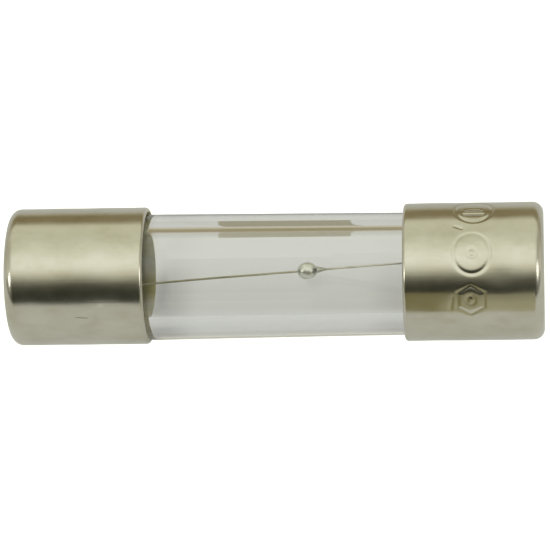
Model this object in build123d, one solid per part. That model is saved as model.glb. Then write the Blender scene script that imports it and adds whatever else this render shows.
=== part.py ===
from build123d import *

import os

# Miniature glass cartridge fuse, 5 x 20 mm, time-lag type with a bead on its wire. Millimetres.
#
# +X runs along the fuse towards its right cap, +Z is up, and the origin is on the fuse's axis,
# midway between the two end faces. Turned pieces are drawn as profiles in the XY plane, where X is
# the place along the axis and Y is the radius. Both ends are alike, so the right one is drawn and
# the left one is its mirror image.

# Driving dimensions of the whole fuse
FUSE_LENGTH = 20.0
CAP_DIAMETER = 5.15
CAP_LENGTH = 5.2

# End cap: a cup drawn from thin brass sheet
CAP_WALL = 0.16
CAP_END_THICKNESS = 0.28
CAP_CORNER_RADIUS = 0.42
CAP_INNER_CORNER_RADIUS = 0.2
CAP_LIP_RADIUS = 0.14

# Glass tube, fire-polished at both ends
TUBE_CLEARANCE = 0.09
TUBE_WALL = 0.82
TUBE_RIM_RADIUS = 0.2

# Solder: a disc on the cap's floor, which the tube stands on, and a dome inside the tube
SOLDER_DISC_THICKNESS = 0.37
SOLDER_DOME_HEIGHT = 0.5
SOLDER_DOME_EDGE_GAP = 0.05

# Fuse wire: it crosses the bore from its near side on the left to its far side on the right
WIRE_RADIUS = 0.04
WIRE_SIDE_ANGLE = 159.8
WIRE_OFFSET = 1.44
WIRE_TAIL_OFFSET = 2.05
WIRE_BEND_RADIUS = 0.15
WIRE_DEPTH_IN_SOLDER = 0.07

# Tin bead: a drop that bulges most at its middle and is drawn out to a tail on its right
BEAD_PLACE = 1.18
BEAD_RADIUS = 0.32
BEAD_HALF_LENGTH = 0.39
BEAD_SHOULDER_PLACE = 0.27
BEAD_SHOULDER_RADIUS = 0.22
BEAD_NECK_RADIUS = 0.12
BEAD_TAIL_LENGTH = 0.26

# Places along the axis and radii that follow from the dimensions above
CAP_RADIUS = CAP_DIAMETER / 2
CAP_BORE_RADIUS = CAP_RADIUS - CAP_WALL
CAP_FACE = FUSE_LENGTH / 2
CAP_MOUTH = CAP_FACE - CAP_LENGTH
CAP_FLOOR = CAP_FACE - CAP_END_THICKNESS
TUBE_RADIUS = CAP_BORE_RADIUS - TUBE_CLEARANCE
TUBE_BORE_RADIUS = TUBE_RADIUS - TUBE_WALL
TUBE_END = CAP_FLOOR - SOLDER_DISC_THICKNESS
WIRE_TURN = TUBE_END + WIRE_DEPTH_IN_SOLDER


def profile(corners, radii):
    """A face with these corners, corner number i of it rounded to radii[i]."""
    face = make_face(Polyline(*corners, close=True))
    for number, radius in radii.items():
        corner = face.vertices().sort_by_distance(corners[number])[0]
        face = fillet(corner, radius)
    return face


def turned(face):
    """The solid that a profile sweeps as it turns round the fuse's axis."""
    return revolve(face, axis=Axis.X)


def at_left_end(piece):
    """A piece of the right end, moved to the left end."""
    return mirror(piece, about=Plane.YZ)


def end_cap():
    """A cup with a rounded closed end, a rounded mouth and a wall of even thickness."""
    corners = [
        (CAP_MOUTH, CAP_RADIUS),
        (CAP_FACE, CAP_RADIUS),
        (CAP_FACE, 0),
        (CAP_FLOOR, 0),
        (CAP_FLOOR, CAP_BORE_RADIUS),
        (CAP_MOUTH, CAP_BORE_RADIUS),
    ]
    radii = {0: CAP_LIP_RADIUS, 1: CAP_CORNER_RADIUS, 4: CAP_INNER_CORNER_RADIUS}
    return turned(profile(corners, radii))


def glass_tube():
    """A straight tube with all four edges of its rims melted round."""
    corners = [
        (-TUBE_END, TUBE_RADIUS),
        (TUBE_END, TUBE_RADIUS),
        (TUBE_END, TUBE_BORE_RADIUS),
        (-TUBE_END, TUBE_BORE_RADIUS),
    ]
    radii = {number: TUBE_RIM_RADIUS for number in range(len(corners))}
    return turned(profile(corners, radii))


def wire_plane():
    """The plane that holds the wire: X is the fuse's axis, and Y points at the wire's left end."""
    return Plane.XY.rotated((WIRE_SIDE_ANGLE, 0, 0))


def fuse_wire():
    """One wire, slanting across the bore and bent outwards over each end of the tube."""
    path = FilletPolyline(
        (-WIRE_TURN, WIRE_TAIL_OFFSET),
        (-WIRE_TURN, WIRE_OFFSET),
        (WIRE_TURN, -WIRE_OFFSET),
        (WIRE_TURN, -WIRE_TAIL_OFFSET),
        radius=WIRE_BEND_RADIUS,
    )
    section = Plane(origin=path @ 0, z_dir=path % 0) * Circle(WIRE_RADIUS)
    return wire_plane() * sweep(section, path=path)


def tin_bead(wire):
    """A drop turned round the wire, with its tail towards the right, and the wire cut out of it."""
    left_tip = (-BEAD_HALF_LENGTH, WIRE_RADIUS)
    neck = (BEAD_HALF_LENGTH, BEAD_NECK_RADIUS)
    right_tip = (BEAD_HALF_LENGTH + BEAD_TAIL_LENGTH, WIRE_RADIUS)
    left_shoulder = (-BEAD_SHOULDER_PLACE, BEAD_SHOULDER_RADIUS)
    right_shoulder = (BEAD_SHOULDER_PLACE, BEAD_SHOULDER_RADIUS)
    skin = Spline(left_tip, left_shoulder, (0, BEAD_RADIUS), right_shoulder, neck, right_tip)
    middle = Polyline(right_tip, (right_tip[0], 0), (left_tip[0], 0), left_tip)
    slope = -WIRE_OFFSET / WIRE_TURN
    on_wire = Plane(origin=(BEAD_PLACE, slope * BEAD_PLACE, 0), x_dir=(1, slope, 0))
    return wire_plane() * on_wire.location * turned(make_face(skin + middle)) - wire


def solder_joint(wire):
    """Solder in the right cap: the disc and the dome, with the wire cut out of both."""
    dome_edge = (TUBE_END, TUBE_BORE_RADIUS - SOLDER_DOME_EDGE_GAP)
    dome_top = (TUBE_END - SOLDER_DOME_HEIGHT, 0)
    dome_middle = (TUBE_END, 0)
    disc_corners = [
        (CAP_FLOOR, 0),
        (CAP_FLOOR, CAP_BORE_RADIUS),
        (TUBE_END, CAP_BORE_RADIUS),
        (TUBE_END, 0),
    ]
    skin = SagittaArc(dome_edge, dome_top, -SOLDER_DOME_HEIGHT / 4)
    dome = make_face(skin + Polyline(dome_top, dome_middle, dome_edge))
    disc = profile(disc_corners, {1: CAP_INNER_CORNER_RADIUS})
    return turned(disc) + turned(dome) - wire


def pieces():
    """Every piece of the fuse, by its name."""
    wire = fuse_wire()
    return {
        "end_cap_left": at_left_end(end_cap()),
        "end_cap_right": end_cap(),
        "glass_tube": glass_tube(),
        "fuse_wire": wire,
        "tin_bead": tin_bead(wire),
        "solder_joint_left": at_left_end(solder_joint(at_left_end(wire))),
        "solder_joint_right": solder_joint(wire),
    }


os.makedirs("parts", exist_ok=True)
for name, piece in pieces().items():
    export_step(piece, f"parts/{name}.step")
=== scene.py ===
import math

import bmesh
import bpy
import numpy as np
from mathutils import Matrix, Vector


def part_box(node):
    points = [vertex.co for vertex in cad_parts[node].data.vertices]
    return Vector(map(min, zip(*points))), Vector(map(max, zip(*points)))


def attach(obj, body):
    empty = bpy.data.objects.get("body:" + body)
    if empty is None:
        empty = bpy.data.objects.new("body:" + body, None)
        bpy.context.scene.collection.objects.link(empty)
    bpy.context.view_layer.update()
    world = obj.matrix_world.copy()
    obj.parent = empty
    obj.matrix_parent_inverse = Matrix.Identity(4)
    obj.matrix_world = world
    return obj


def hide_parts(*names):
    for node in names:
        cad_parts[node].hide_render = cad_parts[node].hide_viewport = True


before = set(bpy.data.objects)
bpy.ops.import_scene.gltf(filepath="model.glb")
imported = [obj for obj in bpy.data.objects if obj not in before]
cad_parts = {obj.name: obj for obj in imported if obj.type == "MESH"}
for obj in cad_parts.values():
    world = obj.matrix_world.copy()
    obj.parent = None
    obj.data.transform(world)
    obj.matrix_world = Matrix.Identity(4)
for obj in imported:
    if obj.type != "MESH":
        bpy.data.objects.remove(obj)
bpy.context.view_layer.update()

# A 5 x 20 mm glass cartridge fuse lying on a pale floor. Its axis is X. An angle round the axis is
# counted from -Y, the near side, over +Z, the top. Lengths are in metres: MM turns millimetres
# into them.
MM = 0.001

# Places and radii read from the CAD boxes
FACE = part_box("end_cap_right")[1].x
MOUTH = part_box("end_cap_right")[0].x
CAP_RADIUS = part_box("end_cap_right")[1].y
TUBE_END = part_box("glass_tube")[1].x
TUBE_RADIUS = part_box("glass_tube")[1].y
SOLDER_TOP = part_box("solder_joint_right")[0].x
FLOOR_Z = -CAP_RADIUS

# End caps
CAP_WALL = 0.16 * MM
CAP_END_THICKNESS = 0.28 * MM
CAP_CORNER = 0.42 * MM
CAP_INNER_CORNER = 0.2 * MM
CAP_LIP = 0.14 * MM
CAP_BURR = 0.02 * MM
CAP_DISH = 0.03 * MM
PUNCH_MARK_RADIUS = 0.28 * MM
PUNCH_MARK_DEPTH = 0.02 * MM
DRAWING_RING_DEPTH = 0.008 * MM

# Glass tube. It slims by TUBE_TAPER of its size per metre towards +X. It lies TUBE_SINK low and near
# in the caps, and SINK_CHANGE of that more at its left mouth than in its middle. Its bore lies
# BORE_LIFT higher and farther than that, falling to nothing over BORE_LIFT_RUN at each end.
TUBE_WALL = 0.745 * MM
TUBE_RIM = 0.2 * MM
TUBE_TAPER = 0.0034 / MM
TUBE_SINK = 0.040 * MM
SINK_CHANGE = 0.1
BORE_LIFT = 0.042 * MM
BORE_LIFT_RUN = 2.5 * MM

# Solder in the caps
SOLDER_EDGE_GAP = 0.05 * MM

# Fuse wire: its plane holds the axis, and WIRE_SIDE is where its left end lies, from +Y over +Z
WIRE_RADIUS = 0.04 * MM
WIRE_SIDE = math.radians(159.8)
WIRE_OFFSET = 1.44 * MM
WIRE_TAIL_OFFSET = 2.05 * MM
WIRE_DEPTH_IN_SOLDER = 0.07 * MM
WIRE_BEND = 0.14 * MM
WIRE_BOW = 0.03 * MM

# Tin bead
BEAD_PLACE = 1.15 * MM
BEAD_RADIUS = 0.32 * MM
BEAD_HALF_LENGTH = 0.37 * MM
BEAD_TAIL_LENGTH = 0.41 * MM
BEAD_NECK = 0.16 * MM

# Places and radii that follow from the sizes above
CAP_BORE = CAP_RADIUS - CAP_WALL
CAP_FLOOR = FACE - CAP_END_THICKNESS
TUBE_BORE = TUBE_RADIUS - TUBE_WALL
WIRE_TURN = TUBE_END + WIRE_DEPTH_IN_SOLDER

# How many steps each piece has round the axis
CAP_STEPS = 420
TUBE_STEPS = 240
BEAD_STEPS = 72
SOLDER_STEPS = 96


# ---------------------------------------------------------------- meshes

def arc(centre, radius, start, end, steps):
    """Points of an arc in the (x, radius) plane, from start to end degrees."""
    turns = [math.radians(start + (end - start) * i / steps) for i in range(steps + 1)]
    return [(centre[0] + radius * math.cos(t), centre[1] + radius * math.sin(t)) for t in turns]


def run(start, end, steps):
    """Points strictly between two points of a profile."""
    shares = [i / steps for i in range(1, steps)]
    return [
        (start[0] + (end[0] - start[0]) * s, start[1] + (end[1] - start[1]) * s) for s in shares
    ]


def turned(name, profile, angles, relief=None, closed=False):
    """A skin turned round the axis. A profile point of radius 0 is a pole. relief gives how far
    each vertex is pushed inwards, from arrays of x, radius and angle. closed joins the profile's
    last point to its first."""
    x, angle = np.meshgrid([p[0] for p in profile], angles, indexing="ij")
    radius = np.meshgrid([p[1] for p in profile], angles, indexing="ij")[0]
    if relief is not None:
        radius = radius - np.where(radius > 0, relief(x, radius, angle), 0)
    points, rows = [], []
    for i, (_, rim) in enumerate(profile):
        count = 1 if rim == 0 else len(angles)
        rows.append([len(points) + j for j in range(count)])
        for j in range(count):
            points.append((
                x[i, j],
                -radius[i, j] * math.cos(angle[i, j]),
                radius[i, j] * math.sin(angle[i, j]),
            ))
    pairs = list(zip(rows, rows[1:] + rows[:1])) if closed else list(zip(rows, rows[1:]))
    faces = []
    for low, high in pairs:
        for j in range(len(angles)):
            k = (j + 1) % len(angles)
            corners = [low[j % len(low)], low[k % len(low)], high[k % len(high)], high[j % len(high)]]
            faces.append(list(dict.fromkeys(corners)))
    return finished(name, points, faces)


def finished(name, points, faces):
    """A smooth mesh object with its faces turned outwards, linked to the scene."""
    mesh = bpy.data.meshes.new(name)
    mesh.from_pydata(points, [], faces)
    shape = bmesh.new()
    shape.from_mesh(mesh)
    bmesh.ops.recalc_face_normals(shape, faces=shape.faces)
    shape.to_mesh(mesh)
    shape.free()
    mesh.polygons.foreach_set("use_smooth", [True] * len(mesh.polygons))
    piece = bpy.data.objects.new(name, mesh)
    bpy.context.scene.collection.objects.link(piece)
    return piece


def even_angles(count):
    """That many angles, evenly spaced round the axis."""
    return np.linspace(0, 2 * math.pi, count, endpoint=False)


def hill(distance, width):
    """A smooth bump: 1 at distance 0, falling to about a third at one width."""
    return np.exp(-((distance / width) ** 2))


# ---------------------------------------------------------------- shader nodes

class Graph:
    """A node tree with short calls for the nodes that the materials use."""

    def __init__(self, tree):
        self.tree = tree
        tree.nodes.clear()

    def node(self, kind, inputs=None, **settings):
        """A new node with these settings, its inputs set or linked."""
        node = self.tree.nodes.new(kind)
        for key, value in settings.items():
            setattr(node, key, value)
        for key, value in (inputs or {}).items():
            self.feed(node.inputs[key], value)
        return node

    def feed(self, socket, value):
        """Link another node's output to a socket, or set the socket to a value."""
        if isinstance(value, bpy.types.NodeSocket):
            self.tree.links.new(value, socket)
        else:
            socket.default_value = value

    def math(self, operation, *values, clamp=False):
        """The result of one operation on values or sockets."""
        node = self.node("ShaderNodeMath", operation=operation, use_clamp=clamp)
        for socket, value in zip(node.inputs, values):
            self.feed(socket, value)
        return node.outputs[0]

    def ramp(self, factor, stops):
        """Colours between stops of (place, colour)."""
        node = self.node("ShaderNodeValToRGB", {"Fac": factor})
        elements = node.color_ramp.elements
        elements[0].position, elements[0].color = stops[0][0], (*stops[0][1], 1.0)
        elements[1].position, elements[1].color = stops[-1][0], (*stops[-1][1], 1.0)
        for place, colour in stops[1:-1]:
            elements.new(place).color = (*colour, 1.0)
        return node.outputs["Color"]

    def span(self, value, low, high, to_low, to_high, smooth=False):
        """value between low and high, stretched to lie between to_low and to_high."""
        node = self.node("ShaderNodeMapRange", {
            "Value": value,
            "From Min": low,
            "From Max": high,
            "To Min": to_low,
            "To Max": to_high,
        })
        node.interpolation_type = "SMOOTHSTEP" if smooth else "LINEAR"
        return node.outputs["Result"]

    def noise(self, vector, detail=2.0, roughness=0.5):
        """Noise with one cell to each unit of the vector."""
        node = self.node("ShaderNodeTexNoise", {
            "Vector": vector,
            "Scale": 1.0,
            "Detail": detail,
            "Roughness": roughness,
        })
        return node.outputs["Fac"]

    def mix(self, factor, first, second, blend="MIX"):
        """Two colours mixed or blended."""
        node = self.node("ShaderNodeMix", data_type="RGBA", blend_type=blend)
        self.feed(node.inputs["Factor"], factor)
        self.feed(node.inputs[6], first)
        self.feed(node.inputs[7], second)
        return node.outputs[2]

    def bump(self, height, distance, normal=None):
        """The surface direction over small bumps, this many metres high."""
        node = self.node("ShaderNodeBump", {"Height": height, "Distance": distance})
        if normal is not None:
            self.feed(node.inputs["Normal"], normal)
        return node.outputs["Normal"]

    def place(self):
        """x, y and z on the object."""
        spot = self.node("ShaderNodeTexCoord").outputs["Object"]
        return self.node("ShaderNodeSeparateXYZ", {"Vector": spot}).outputs

    def grid(self, along, across):
        """Object coordinates counted in cells: so many per metre along the axis and across it."""
        spot = self.node("ShaderNodeTexCoord").outputs["Object"]
        node = self.node("ShaderNodeMapping", {"Vector": spot, "Scale": (along, across, across)})
        return node.outputs["Vector"]


def material(name, build):
    """A new material whose graph is made by build, which gives back the surface shader."""
    made = bpy.data.materials.new(name)
    made.use_nodes = True
    graph = Graph(made.node_tree)
    surface = build(graph)
    graph.node("ShaderNodeOutputMaterial", {"Surface": surface.outputs[0]})
    return made


# Where a drop of flux has dried, inside the left cap near its mouth
FLUX_SPOT = (-MOUTH - 0.2 * MM, 1.15 * MM, -2.12 * MM)


def nickel_plating(graph):
    """Bright nickel over drawn brass: fine lines along the axis, faint stains. The inside, where the
    plating is thin, is a dull brass, painted paler than brass as painted light against the shade
    inside the cap, with olive flux at FLUX_SPOT."""
    x, y, z = graph.place()
    square = graph.math("ADD", graph.math("MULTIPLY", y, y), graph.math("MULTIPLY", z, z))
    radius = graph.math("SQRT", square)
    lines = graph.noise(graph.grid(400, 9000), 3.0)
    grain = graph.noise(graph.grid(30000, 30000), 3.0)
    stains = graph.noise(graph.grid(700, 1100), 4.0, 0.6)
    plated = graph.ramp(stains, [
        (0.3, (0.545, 0.52, 0.42)),
        (0.55, (0.61, 0.585, 0.495)),
        (0.75, (0.64, 0.615, 0.54)),
    ])
    # Dull brass of the inside, partly painted light: made paler than brass to lift the shade inside the
    # cap.
    bare_and_painted_light = graph.ramp(stains, [(0.35, (0.80, 0.75, 0.50)), (0.65, (0.96, 0.93, 0.76))])
    spot = graph.node("ShaderNodeCombineXYZ", {0: x, 1: y, 2: z}).outputs["Vector"]
    from_flux = graph.node("ShaderNodeVectorMath", {0: spot, 1: FLUX_SPOT}, operation="DISTANCE")
    ragged = graph.math("MULTIPLY_ADD", stains, 0.8 * MM, from_flux.outputs["Value"])
    flux = graph.span(ragged, 0.5 * MM, 1.6 * MM, 1.0, 0.0, smooth=True)
    bare_and_painted_light = graph.mix(flux, bare_and_painted_light, (0.62, 0.57, 0.31, 1.0))
    in_wall = graph.span(radius, CAP_BORE + 0.04 * MM, CAP_BORE + 0.01 * MM, 0.0, 1.0)
    from_middle = graph.math("ABSOLUTE", x)
    inside = graph.math("MULTIPLY", in_wall, graph.math("LESS_THAN", from_middle, CAP_FLOOR + 0.05 * MM))
    mottle = graph.math("MULTIPLY_ADD", grain, 0.4, stains)
    roughness = graph.math("MULTIPLY_ADD", inside, 0.3, graph.span(mottle, 0.4, 1.0, 0.15, 0.24))
    fine = graph.bump(grain, 0.0006 * MM)
    return graph.node("ShaderNodeBsdfPrincipled", {
        "Base Color": graph.mix(inside, plated, bare_and_painted_light),
        "Metallic": 1.0,
        "Roughness": roughness,
        "Normal": graph.bump(lines, 0.0012 * MM, fine),
    })


def clear_glass(graph):
    """Clear drawn glass tube: faint drawing lines along the axis and a breath of haze."""
    lines = graph.noise(graph.grid(60, 2500))
    haze = graph.noise(graph.grid(900, 900), 3.0)
    return graph.node("ShaderNodeBsdfPrincipled", {
        "Base Color": (0.985, 0.985, 0.98, 1.0),
        "Roughness": graph.span(haze, 0.45, 0.8, 0.0, 0.03),
        "IOR": 1.51,
        "Transmission Weight": 1.0,
        "Normal": graph.bump(lines, 0.0004 * MM),
    })


def tinned_wire(graph):
    """Thin drawn wire with a dull tin coat, darker towards the left end."""
    x = graph.place()[0]
    patches = graph.noise(graph.grid(1500, 6000), 3.0)
    grain = graph.noise(graph.grid(9000, 40000))
    tin_tone = graph.math("ADD", patches, graph.span(x, -3 * MM, 7 * MM, -0.1, 0.35))
    return graph.node("ShaderNodeBsdfPrincipled", {
        "Base Color": graph.ramp(tin_tone, [
            (0.25, (0.30, 0.28, 0.18)),
            (0.5, (0.46, 0.44, 0.32)),
            (0.75, (0.74, 0.72, 0.60)),
        ]),
        "Metallic": 1.0,
        "Roughness": graph.span(patches, 0.3, 0.7, 0.32, 0.46),
        "Normal": graph.bump(grain, 0.001 * MM),
    })


def bright_tin(graph):
    """Tin frozen from a drop: bright, with a faintly crystalline skin, and dull on its tail."""
    x = graph.place()[0]
    cells = graph.node("ShaderNodeTexVoronoi", {"Vector": graph.grid(9000, 9000), "Scale": 1.0})
    cloud = graph.noise(graph.grid(5000, 5000), 3.0)
    bright = graph.ramp(cloud, [(0.35, (0.70, 0.71, 0.62)), (0.65, (0.84, 0.85, 0.78))])
    tail = BEAD_PLACE + BEAD_HALF_LENGTH
    dull = graph.span(x, tail - 0.08 * MM, tail + 0.15 * MM, 0.0, 1.0, smooth=True)
    return graph.node("ShaderNodeBsdfPrincipled", {
        "Base Color": graph.mix(dull, bright, (0.47, 0.47, 0.39, 1.0)),
        "Metallic": 1.0,
        "Roughness": graph.span(cloud, 0.3, 0.7, 0.30, 0.44),
        "Normal": graph.bump(cells.outputs["Distance"], 0.002 * MM),
    })


def frozen_solder(graph):
    """Satin solder with a mottled skin and traces of flux."""
    cloud = graph.noise(graph.grid(2200, 2200), 4.0, 0.6)
    grain = graph.noise(graph.grid(15000, 15000), 3.0)
    return graph.node("ShaderNodeBsdfPrincipled", {
        "Base Color": graph.ramp(cloud, [
            (0.3, (0.46, 0.42, 0.27)),
            (0.5, (0.62, 0.61, 0.54)),
            (0.7, (0.74, 0.74, 0.70)),
        ]),
        "Metallic": 1.0,
        "Roughness": graph.span(cloud, 0.3, 0.7, 0.30, 0.45),
        "Normal": graph.bump(grain, 0.004 * MM),
    })


# ---------------------------------------------------------------- stamped marks on the caps

STAMP_DEPTH = 0.028 * MM
STAMP_HALF_WIDTH = 0.068 * MM
WAVE_DEPTH = 0.0035 * MM


def outline(sides, width, height, turn=0.0):
    """A closed outline of so many sides, width by height, as strokes round its own centre."""
    angles = [math.radians(turn) + 2 * math.pi * i / sides for i in range(sides + 1)]
    points = [(width / 2 * math.cos(t), height / 2 * math.sin(t)) for t in angles]
    return list(zip(points, points[1:]))


def bar(length, tilt=0.0, x=0.0, y=0.0):
    """One straight stroke, tilted by so many degrees from the fuse's axis."""
    half = (length / 2 * math.cos(math.radians(tilt)), length / 2 * math.sin(math.radians(tilt)))
    return [((x - half[0], y - half[1]), (x + half[0], y + half[1]))]


RING = outline(28, 1.36 * MM, 1.56 * MM)
HEXAGON = outline(6, 1.12 * MM, 1.15 * MM, 30)
DOT = outline(10, 0.3 * MM, 0.34 * MM)
TWO_BARS = bar(0.5 * MM, y=0.15 * MM) + bar(0.7 * MM, y=-0.15 * MM)
TICKS = [
    stroke
    for i, length in enumerate((0.42, 0.26, 0.42, 0.26))
    for stroke in bar(length * MM, 90, x=(i - 1.5) * 0.26 * MM)
]

# Each mark: its strokes, its place along the axis, its angle round the axis, its strength
RIGHT_MARKS = (
    (RING, 7.35 * MM, 62, 1.0),
    (DOT, 7.35 * MM, 62, 0.8),
    (RING, 7.42 * MM, 109, 1.0),
    (TWO_BARS, 7.42 * MM, 105, 1.0),
    (bar(0.3 * MM, -25), 6.86 * MM, 86, 1.3),
    (HEXAGON, 7.3 * MM, 22, 0.7),
    (DOT, 7.3 * MM, 22, 0.7),
    (bar(0.45 * MM, 80), 6.6 * MM, 20, 0.5),
    (TICKS, 7.3 * MM, 222, 0.8),
)
LEFT_MARKS = (
    (bar(0.7 * MM, 72), -6.5 * MM, 12, 1.3),
    (bar(0.45 * MM, -6), -7.1 * MM, 11, 0.85),
    (bar(0.45 * MM, -6), -7.0 * MM, 0, 1.3),
    (TICKS, -7.3 * MM, 205, 0.8),
    (HEXAGON, -7.3 * MM, 250, 0.8),
)

# Each dent: its place along the axis, its angle round the axis, its depth, its half width
RIGHT_DENTS = (
    (7.4 * MM, 60, 0.012 * MM, 0.9 * MM),
    (8.35 * MM, 42, 0.02 * MM, 0.45 * MM),
    (5.7 * MM, 75, 0.006 * MM, 0.7 * MM),
)
LEFT_DENTS = (
    (-6.6 * MM, 20, 0.010 * MM, 0.6 * MM),
    (-5.6 * MM, 52, 0.008 * MM, 0.5 * MM),
    (-8.6 * MM, 85, 0.006 * MM, 0.9 * MM),
)


def around(x, angle, along, turn):
    """Distances of each place of a cap's wall from one place on it: along the axis and round it."""
    swing = (angle - math.radians(turn) + math.pi) % (2 * math.pi) - math.pi
    return x - along, swing * CAP_RADIUS


def stamped(marks, x, angle):
    """How deep the marks press at each place of a cap's wall."""
    depth = np.zeros(x.shape)
    for strokes, along, turn, strength in marks:
        here, up = around(x, angle, along, turn)
        nearest = np.full(x.shape, np.inf)
        for (ax, ay), (bx, by) in strokes:
            dx, dy = bx - ax, by - ay
            share = np.clip(((here - ax) * dx + (up - ay) * dy) / (dx * dx + dy * dy), 0, 1)
            nearest = np.minimum(nearest, np.hypot(here - ax - share * dx, up - ay - share * dy))
        depth += strength * STAMP_DEPTH * hill(nearest, STAMP_HALF_WIDTH)
    return depth


def dented(dents, x, angle):
    """How deep the dents are at each place of a cap's wall."""
    return sum(
        depth * hill(np.hypot(*around(x, angle, along, turn)), width)
        for along, turn, depth, width in dents
    )


def waves(x, angle, shift):
    """The slight unevenness of a pressed cap: long low waves along it and round it."""
    along = x / MM
    return WAVE_DEPTH * (
        1.0
        + np.sin(1.9 * along + 2 * angle + shift) * np.cos(3 * angle - shift)
        + 0.6 * np.sin(3.7 * along - 3 * angle + 2 * shift)
        + 0.4 * np.cos(7 * angle + 2.3 * along)
    )


# ---------------------------------------------------------------- the pieces of the fuse

def cap_face():
    """The outer face's section, from its middle outwards: a shallow dish inside a flat rim, with the
    round mark of the punch in its middle and a faint drawing ring."""
    rim = CAP_RADIUS - CAP_CORNER
    steps = 48
    points = []
    for i in range(steps):
        radius = rim * i / steps
        dish = CAP_DISH * (1 - (radius / rim) ** 2) * min(1, (rim - radius) / (0.25 * MM))
        mark = PUNCH_MARK_DEPTH * hill(radius - PUNCH_MARK_RADIUS, 0.07 * MM)
        ring = DRAWING_RING_DEPTH * hill(radius - 0.72 * rim, 0.08 * MM)
        points.append((FACE - dish - mark - ring, radius))
    return points


def cap_profile():
    """The right cap's section, from the middle of its outer face round to that of its floor."""
    return (
        cap_face()
        + arc((FACE - CAP_CORNER, CAP_RADIUS - CAP_CORNER), CAP_CORNER, 0, 90, 12)
        + run((FACE - CAP_CORNER, CAP_RADIUS), (MOUTH + CAP_LIP, CAP_RADIUS), 125)
        + arc((MOUTH + CAP_LIP, CAP_RADIUS - CAP_LIP), CAP_LIP, 90, 180, 8)
        + arc((MOUTH + CAP_BURR, CAP_BORE + CAP_BURR), CAP_BURR, 180, 270, 3)
        + run((MOUTH + CAP_BURR, CAP_BORE), (CAP_FLOOR - CAP_INNER_CORNER, CAP_BORE), 10)
        + arc((CAP_FLOOR - CAP_INNER_CORNER, CAP_BORE - CAP_INNER_CORNER), CAP_INNER_CORNER, 90, 0, 5)
        + run((CAP_FLOOR, CAP_BORE - CAP_INNER_CORNER), (CAP_FLOOR, 0), 5)
        + [(CAP_FLOOR, 0)]
    )


def end_cap(name, side, marks, dents):
    """A plated cap with its marks and dents; side is 1 for the right cap and -1 for the left one."""
    profile = [(side * x, radius) for x, radius in cap_profile()]

    def relief(x, radius, angle):
        outer = np.clip((radius - CAP_BORE) / CAP_WALL * 2 - 1, 0, 1)
        from_end = FACE - abs(x)
        fade = np.clip(from_end / CAP_CORNER, 0, 1) * outer
        return fade * (stamped(marks, x, angle) + dented(dents, x, angle) + waves(x, angle, side))

    piece = turned(name, profile, even_angles(CAP_STEPS), relief)
    piece.data.materials.append(material(name + "_nickel", nickel_plating))
    return piece


def glass_tube():
    """The tube, with a real outer and inner wall and melted rims. As drawn, it is a little slimmer at
    its right end and its bore lies off centre, and it was soldered in low in its caps."""
    outer, inner = TUBE_RADIUS - TUBE_RIM, TUBE_BORE + TUBE_RIM
    end = TUBE_END - TUBE_RIM
    profile = (
        arc((-end, outer), TUBE_RIM, 180, 90, 8)
        + run((-end, TUBE_RADIUS), (end, TUBE_RADIUS), 24)
        + arc((end, outer), TUBE_RIM, 90, 0, 8)
        + arc((end, inner), TUBE_RIM, 0, -90, 8)
        + run((end, TUBE_BORE), (-end, TUBE_BORE), 24)
        + arc((-end, inner), TUBE_RIM, 270, 180, 8)
    )
    piece = turned("tube_glass", profile, even_angles(TUBE_STEPS), closed=True)
    for point in piece.data.vertices:
        x, y, z = point.co
        visible = max(-MOUTH, min(MOUTH, x))
        scale = 1 - TUBE_TAPER * visible
        sink = TUBE_SINK * (1 - SINK_CHANGE * visible / MOUTH)
        if math.hypot(y, z) < TUBE_BORE + TUBE_RIM:
            sink -= BORE_LIFT * min(1, (TUBE_END - abs(x)) / BORE_LIFT_RUN)
        point.co.yz = y * scale - sink, z * scale - sink
    piece.data.materials.append(material("clear_glass", clear_glass))
    return piece


def on_wire_plane(x, offset):
    """The point at x along the axis and at offset from it, in the slanting plane that holds the wire."""
    return Vector((x, offset * math.cos(WIRE_SIDE), offset * math.sin(WIRE_SIDE)))


def wire_offset(x):
    """How far the straight stretch of the wire lies from the axis."""
    return -WIRE_OFFSET * x / WIRE_TURN


def wire():
    """The fuse wire: pulled straight but for two faint bends, and folded over each end of the tube."""
    stations = ((-6.0, 0.0), (-2.4, -WIRE_BOW), (-0.2, WIRE_BOW / 2), (3.0, 0.0), (6.0, 0.0))
    middle = [(x * MM, wire_offset(x * MM) + away) for x, away in stations]
    left = [
        (-WIRE_TURN, WIRE_TAIL_OFFSET),
        (-WIRE_TURN, WIRE_OFFSET + WIRE_BEND),
        (-WIRE_TURN, WIRE_OFFSET),
        (-WIRE_TURN + WIRE_BEND, wire_offset(WIRE_BEND - WIRE_TURN)),
    ]
    right = [(-x, -offset) for x, offset in reversed(left)]
    curve = bpy.data.curves.new("wire", "CURVE")
    curve.dimensions = "3D"
    curve.bevel_depth = WIRE_RADIUS
    curve.bevel_resolution = 5
    curve.resolution_u = 10
    curve.use_fill_caps = True
    spline = curve.splines.new("NURBS")
    points = left + middle + right
    spline.points.add(len(points) - 1)
    for point, (x, offset) in zip(spline.points, points):
        point.co = (*on_wire_plane(x, offset), 1.0)
    spline.order_u = 3
    spline.use_endpoint_u = True
    piece = bpy.data.objects.new("wire", curve)
    bpy.context.scene.collection.objects.link(piece)
    piece.data.materials.append(material("tinned_wire", tinned_wire))
    return piece


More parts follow.
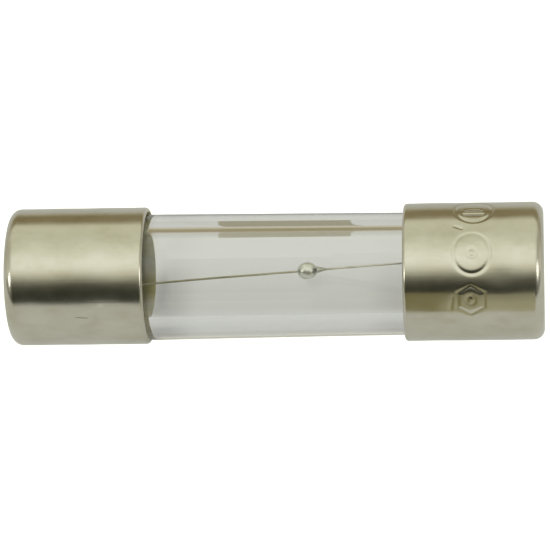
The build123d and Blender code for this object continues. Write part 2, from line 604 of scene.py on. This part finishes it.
def bead():
    """The tin drop on the wire: plump, hanging a little, and drawn out to a tail on its right. Its
    section is a full ellipse that runs into a hollow cone."""
    tip = BEAD_HALF_LENGTH + BEAD_TAIL_LENGTH
    profile = [(-BEAD_HALF_LENGTH - 0.02 * MM, 0)]
    steps = 48
    for i in range(1, steps):
        x = -BEAD_HALF_LENGTH + (tip + BEAD_HALF_LENGTH) * (i / steps) ** 1.2
        body = BEAD_RADIUS * math.sqrt(max(0, 1 - abs(x / (BEAD_HALF_LENGTH * 1.03)) ** 2.1))
        tail = BEAD_NECK * ((tip - x) / (tip - 0.6 * BEAD_HALF_LENGTH)) ** 1.5 if x > 0 else 0
        profile.append((x, max(body, WIRE_RADIUS + min(tail, BEAD_NECK))))
    profile.append((tip, 0))

    def relief(x, radius, angle):
        down = hill(angle - 1.5 * math.pi, 0.9)
        tip_low = hill(np.hypot(angle - 1.5 * math.pi, (x - 0.06 * MM) / (0.5 * MM)), 0.22)
        dimples = np.sin(2 * angle + 9 * x / MM) + np.cos(3 * angle - 14 * x / MM)
        share = radius / BEAD_RADIUS
        return -share * MM * (0.012 * down + 0.035 * tip_low + 0.004 * dimples)

    piece = turned("bead", profile, even_angles(BEAD_STEPS), relief)
    ahead = (on_wire_plane(MM, wire_offset(MM)) - on_wire_plane(0, 0)).normalized()
    lean = Vector((1, 0, 0)).rotation_difference(ahead).to_matrix().to_4x4()
    centre = on_wire_plane(BEAD_PLACE, wire_offset(BEAD_PLACE))
    piece.data.transform(Matrix.Translation(centre) @ lean)
    piece.data.materials.append(material("bright_tin", bright_tin))
    return piece


def solder(name, side):
    """The solder in one cap: a disc under the tube's end and a frozen pool inside the bore, which
    climbs a little up the glass and has run up to a hump in the middle."""
    edge = TUBE_BORE - SOLDER_EDGE_GAP
    height = TUBE_END - SOLDER_TOP
    pool = []
    steps = 40
    for i in range(steps + 1):
        share = 1 - i / steps
        climb = 0.55 * math.exp(-(1 - share) / 0.06)
        hump = 0.82 * math.cos(share * math.pi / 2) ** 1.4
        pool.append((TUBE_END - height * min(1.0, climb + hump), edge * share))
    profile = (
        [(CAP_FLOOR, 0), (CAP_FLOOR, CAP_BORE - CAP_INNER_CORNER)]
        + arc((CAP_FLOOR - CAP_INNER_CORNER, CAP_BORE - CAP_INNER_CORNER), CAP_INNER_CORNER, 0, 90, 6)
        + [(TUBE_END, CAP_BORE), (TUBE_END, edge)]
        + pool
    )

    def relief(x, radius, angle):
        inside = np.clip((TUBE_END - abs(x)) / height, 0, 1) * radius / edge
        lumps = np.sin(3 * angle + side) + 0.6 * np.cos(5 * angle + 4 * radius / MM)
        return inside * 0.05 * MM * (lumps + 1.2)

    profile = [(side * x, radius) for x, radius in profile]
    piece = turned(name, profile, even_angles(SOLDER_STEPS), relief)
    piece.data.materials.append(material(name, frozen_solder))
    return piece


for piece, node, slot in (
    (end_cap("cap_skin_left", -1, LEFT_MARKS, LEFT_DENTS), "end_cap_left", "plated_cap"),
    (end_cap("cap_skin_right", 1, RIGHT_MARKS, RIGHT_DENTS), "end_cap_right", "plated_cap"),
    (glass_tube(), "glass_tube", "clear_glass"),
    (wire(), "fuse_wire", "tinned_wire"),
    (bead(), "tin_bead", "tin"),
    (solder("solder_left", -1), "solder_joint_left", "solder"),
    (solder("solder_right", 1), "solder_joint_right", "solder"),
):
    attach(piece, "root")
    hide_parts(node)


# ---------------------------------------------------------------- stage: floor, light, camera

# How brightly the floor glows on the fuse, and how much more to the camera
FLOOR_GLOW = 0.475
SEEN_GLOW = 0.75

# The strip behind the fuse starts and ends this far away, and the cards in front stand here
STRIP_NEAR = 8.6 * MM
STRIP_FAR = 200 * MM
CARDS_FRONT = -9.4 * MM

# The rays that never meet the strip and the cards
OUT_OF_SIGHT = ("camera", "shadow", "diffuse")


def pale_paper(graph):
    """Paper that glows softly, brighter to the camera than to the things that stand on it. It is a
    little dimmer far behind the fuse, and below the mouths of the caps its glow holds a painted shade
    of the caps, more at the left one."""
    seen = graph.node("ShaderNodeLightPath").outputs["Is Camera Ray"]
    x, y, _ = graph.place()
    far = graph.span(y, 7.8 * MM, 9.4 * MM, 1.0, 0.88, smooth=True)
    # Painted shade of the caps on the glowing floor: dimmed below their mouths, most under the tube, less
    # in front and behind.
    rise = graph.span(graph.math("ABSOLUTE", x), 3.0 * MM, 4.5 * MM, 0.0, 1.0, smooth=True)
    fall = graph.span(graph.math("ABSOLUTE", x), 4.6 * MM, 5.1 * MM, 1.0, 0.0, smooth=True)
    near = graph.span(y, 1.5 * MM, 4 * MM, 0.33, 0.06, smooth=True)
    front = graph.span(y, -1.9 * MM, -0.9 * MM, 0.35, 1.0, smooth=True)
    right = graph.span(x, -3 * MM, 3 * MM, 1.0, 0.55)
    painted_shade = graph.math("MULTIPLY", graph.math("MULTIPLY", rise, fall), near)
    painted_shade = graph.math("MULTIPLY", painted_shade, graph.math("MULTIPLY", front, right))
    glow = graph.math("MULTIPLY", far, graph.math("MULTIPLY_ADD", painted_shade, -FLOOR_GLOW, FLOOR_GLOW))
    return graph.node("ShaderNodeBsdfPrincipled", {
        "Base Color": (0.25, 0.25, 0.26, 1.0),
        "Roughness": 0.9,
        "Specular IOR Level": 0.0,
        "Emission Color": (0.95, 0.97, 0.91, 1.0),
        "Emission Strength": graph.math("MULTIPLY_ADD", seen, SEEN_GLOW, glow),
    })


def card_board(colour):
    """The builder of a plain matt material of one colour."""
    def build(graph):
        return graph.node("ShaderNodeBsdfPrincipled", {
            "Base Color": (*colour, 1.0),
            "Roughness": 0.9,
            "Specular IOR Level": 0.0,
        })
    return build


def flat(name, corners, build, hidden_from=()):
    """A flat four-sided piece of the stage, hidden from some kinds of rays."""
    sheet = finished(name, corners, [[0, 1, 2, 3]])
    sheet.data.materials.append(material(name, build))
    for rays in hidden_from:
        setattr(sheet, "visible_" + rays, False)


def upright(name, left, right, low, high, colour):
    """A card in front of the fuse, which shows only in what reflects it or through the glass."""
    places = ((left, low), (right, low), (right, high), (left, high))
    flat(name, [(x, CARDS_FRONT, z) for x, z in places], card_board(colour), OUT_OF_SIGHT)


def surroundings():
    """The floor, a dark strip behind the tube that shows only through its glass, and brown cards in
    front of the fuse's right half."""
    reach = 1.0
    flat("floor", [
        (-reach, -reach, FLOOR_Z),
        (reach, -reach, FLOOR_Z),
        (reach, reach, FLOOR_Z),
        (-reach, reach, FLOOR_Z),
    ], pale_paper)
    low = FLOOR_Z + 0.05 * MM
    flat("strip", [
        (-3.0 * MM, STRIP_NEAR, low),
        (2.3 * MM, STRIP_NEAR, low),
        (-7.8 * MM, STRIP_FAR, low),
        (-21.6 * MM, STRIP_FAR, low),
    ], card_board((0.41, 0.385, 0.315)), (*OUT_OF_SIGHT, "glossy"))
    upright("card_left", 1.0 * MM, 6.25 * MM, FLOOR_Z, 2.75 * MM, (0.50, 0.46, 0.28))
    upright("card_right", 6.25 * MM, 12 * MM, 0.55 * MM, 2.4 * MM, (0.66, 0.64, 0.52))
    upright("card_under", 6.25 * MM, 12 * MM, FLOOR_Z, 0.55 * MM, (0.80, 0.77, 0.60))


def toward(lateral, over):
    """The direction that leans lateral degrees towards +X and stands at the angle over round the axis."""
    side, turn = math.radians(lateral), math.radians(over)
    return Vector((math.sin(side), -math.cos(side) * math.cos(turn), math.cos(side) * math.sin(turn)))


def lamp(graph, looking, direction, spread, strength):
    """A soft round patch of light in the given direction, spread degrees from middle to rim."""
    dot = graph.node("ShaderNodeVectorMath", {0: looking, 1: direction}, operation="DOT_PRODUCT")
    low, high = math.cos(math.radians(spread)), math.cos(math.radians(spread * 0.6))
    return graph.span(dot.outputs["Value"], low, high, 0.0, strength, smooth=True)


def studio():
    """Soft light from all round, by its angle over the fuse from the near horizon to the far one,
    with dimmer sides and two small lamps."""
    world = bpy.data.worlds.new("studio")
    world.use_nodes = True
    bpy.context.scene.world = world
    graph = Graph(world.node_tree)
    looking = graph.node("ShaderNodeTexCoord").outputs["Generated"]
    x, y, z = graph.node("ShaderNodeSeparateXYZ", {"Vector": looking}).outputs
    over = graph.math("ARCTAN2", z, graph.math("MULTIPLY", y, -1.0))
    light = graph.ramp(graph.math("DIVIDE", over, math.pi, clamp=True), [
        (0 / 180, (0.035, 0.037, 0.027)),
        (22 / 180, (0.042, 0.044, 0.032)),
        (34 / 180, (0.125, 0.123, 0.095)),
        (42 / 180, (0.42, 0.42, 0.34)),
        (50 / 180, (0.80, 0.80, 0.67)),
        (60 / 180, (1.10, 1.12, 1.00)),
        (70 / 180, (1.17, 1.20, 1.10)),
        (78 / 180, (1.13, 1.16, 1.05)),
        (98 / 180, (0.90, 0.92, 0.77)),
        (114 / 180, (0.79, 0.80, 0.65)),
        (142 / 180, (0.82, 0.83, 0.67)),
        (150 / 180, (0.30, 0.245, 0.135)),
        (171 / 180, (0.275, 0.23, 0.125)),
        (175 / 180, (0.50, 0.46, 0.34)),
        (180 / 180, (0.55, 0.51, 0.38)),
    ])
    flank = graph.ramp(graph.math("MULTIPLY_ADD", x, 0.5, 0.5), [
        (0.0, (0.62, 0.61, 0.52)),
        (0.76, (0.60, 0.60, 0.52)),
        (0.86, (0.45, 0.44, 0.36)),
        (0.93, (0.48, 0.47, 0.39)),
        (1.0, (0.80, 0.79, 0.72)),
    ])
    aside = graph.span(graph.math("ABSOLUTE", x), 0.4, 0.72, 0.0, 0.85)
    raised = graph.span(over, math.radians(15), math.radians(48), 0.4, 1.0)
    aside = graph.math("MULTIPLY", aside, raised)
    colour = graph.mix(aside, light, flank)
    left_lamp = lamp(graph, looking, toward(-48, 42), 10, 3.6)
    right_lamp = lamp(graph, looking, toward(48, 47), 14, 1.9)
    lamps = graph.math("ADD", left_lamp, right_lamp)
    colour = graph.mix(1.0, colour, lamps, "ADD")
    background = graph.node("ShaderNodeBackground", {"Color": colour, "Strength": 1.0})
    graph.node("ShaderNodeOutputWorld", {"Surface": background.outputs[0]})


def camera():
    """A long lens above the near side of the fuse, level with its length but for a slight roll. It
    aims a little to the left of the fuse's middle and below it."""
    elevation, yaw, roll = math.radians(46.5), math.radians(4.8), math.radians(-0.75)
    distance, lens, sensor = 119 * MM, 207.6, 36.0
    back = Vector((
        math.sin(yaw),
        -math.cos(yaw) * math.cos(elevation),
        math.cos(yaw) * math.sin(elevation),
    ))
    axis = Vector((1, 0, 0))
    right = (axis - back * axis.dot(back)).normalized()
    up = back.cross(right)
    turn = Matrix.Rotation(roll, 3, back)
    right, up = turn @ right, turn @ up
    aim = -0.070 * MM * right - 0.039 * MM * up
    data = bpy.data.cameras.new("camera")
    data.lens, data.sensor_width = lens, sensor
    data.clip_start, data.clip_end = 1 * MM, 5.0
    seen_by = bpy.data.objects.new("camera", data)
    pose = Matrix((right, up, back)).transposed().to_4x4()
    pose.translation = aim + back * distance
    seen_by.matrix_world = pose
    bpy.context.scene.collection.objects.link(seen_by)
    bpy.context.scene.camera = seen_by


surroundings()
studio()
camera()
bpy.context.scene.view_settings.view_transform = "Standard"
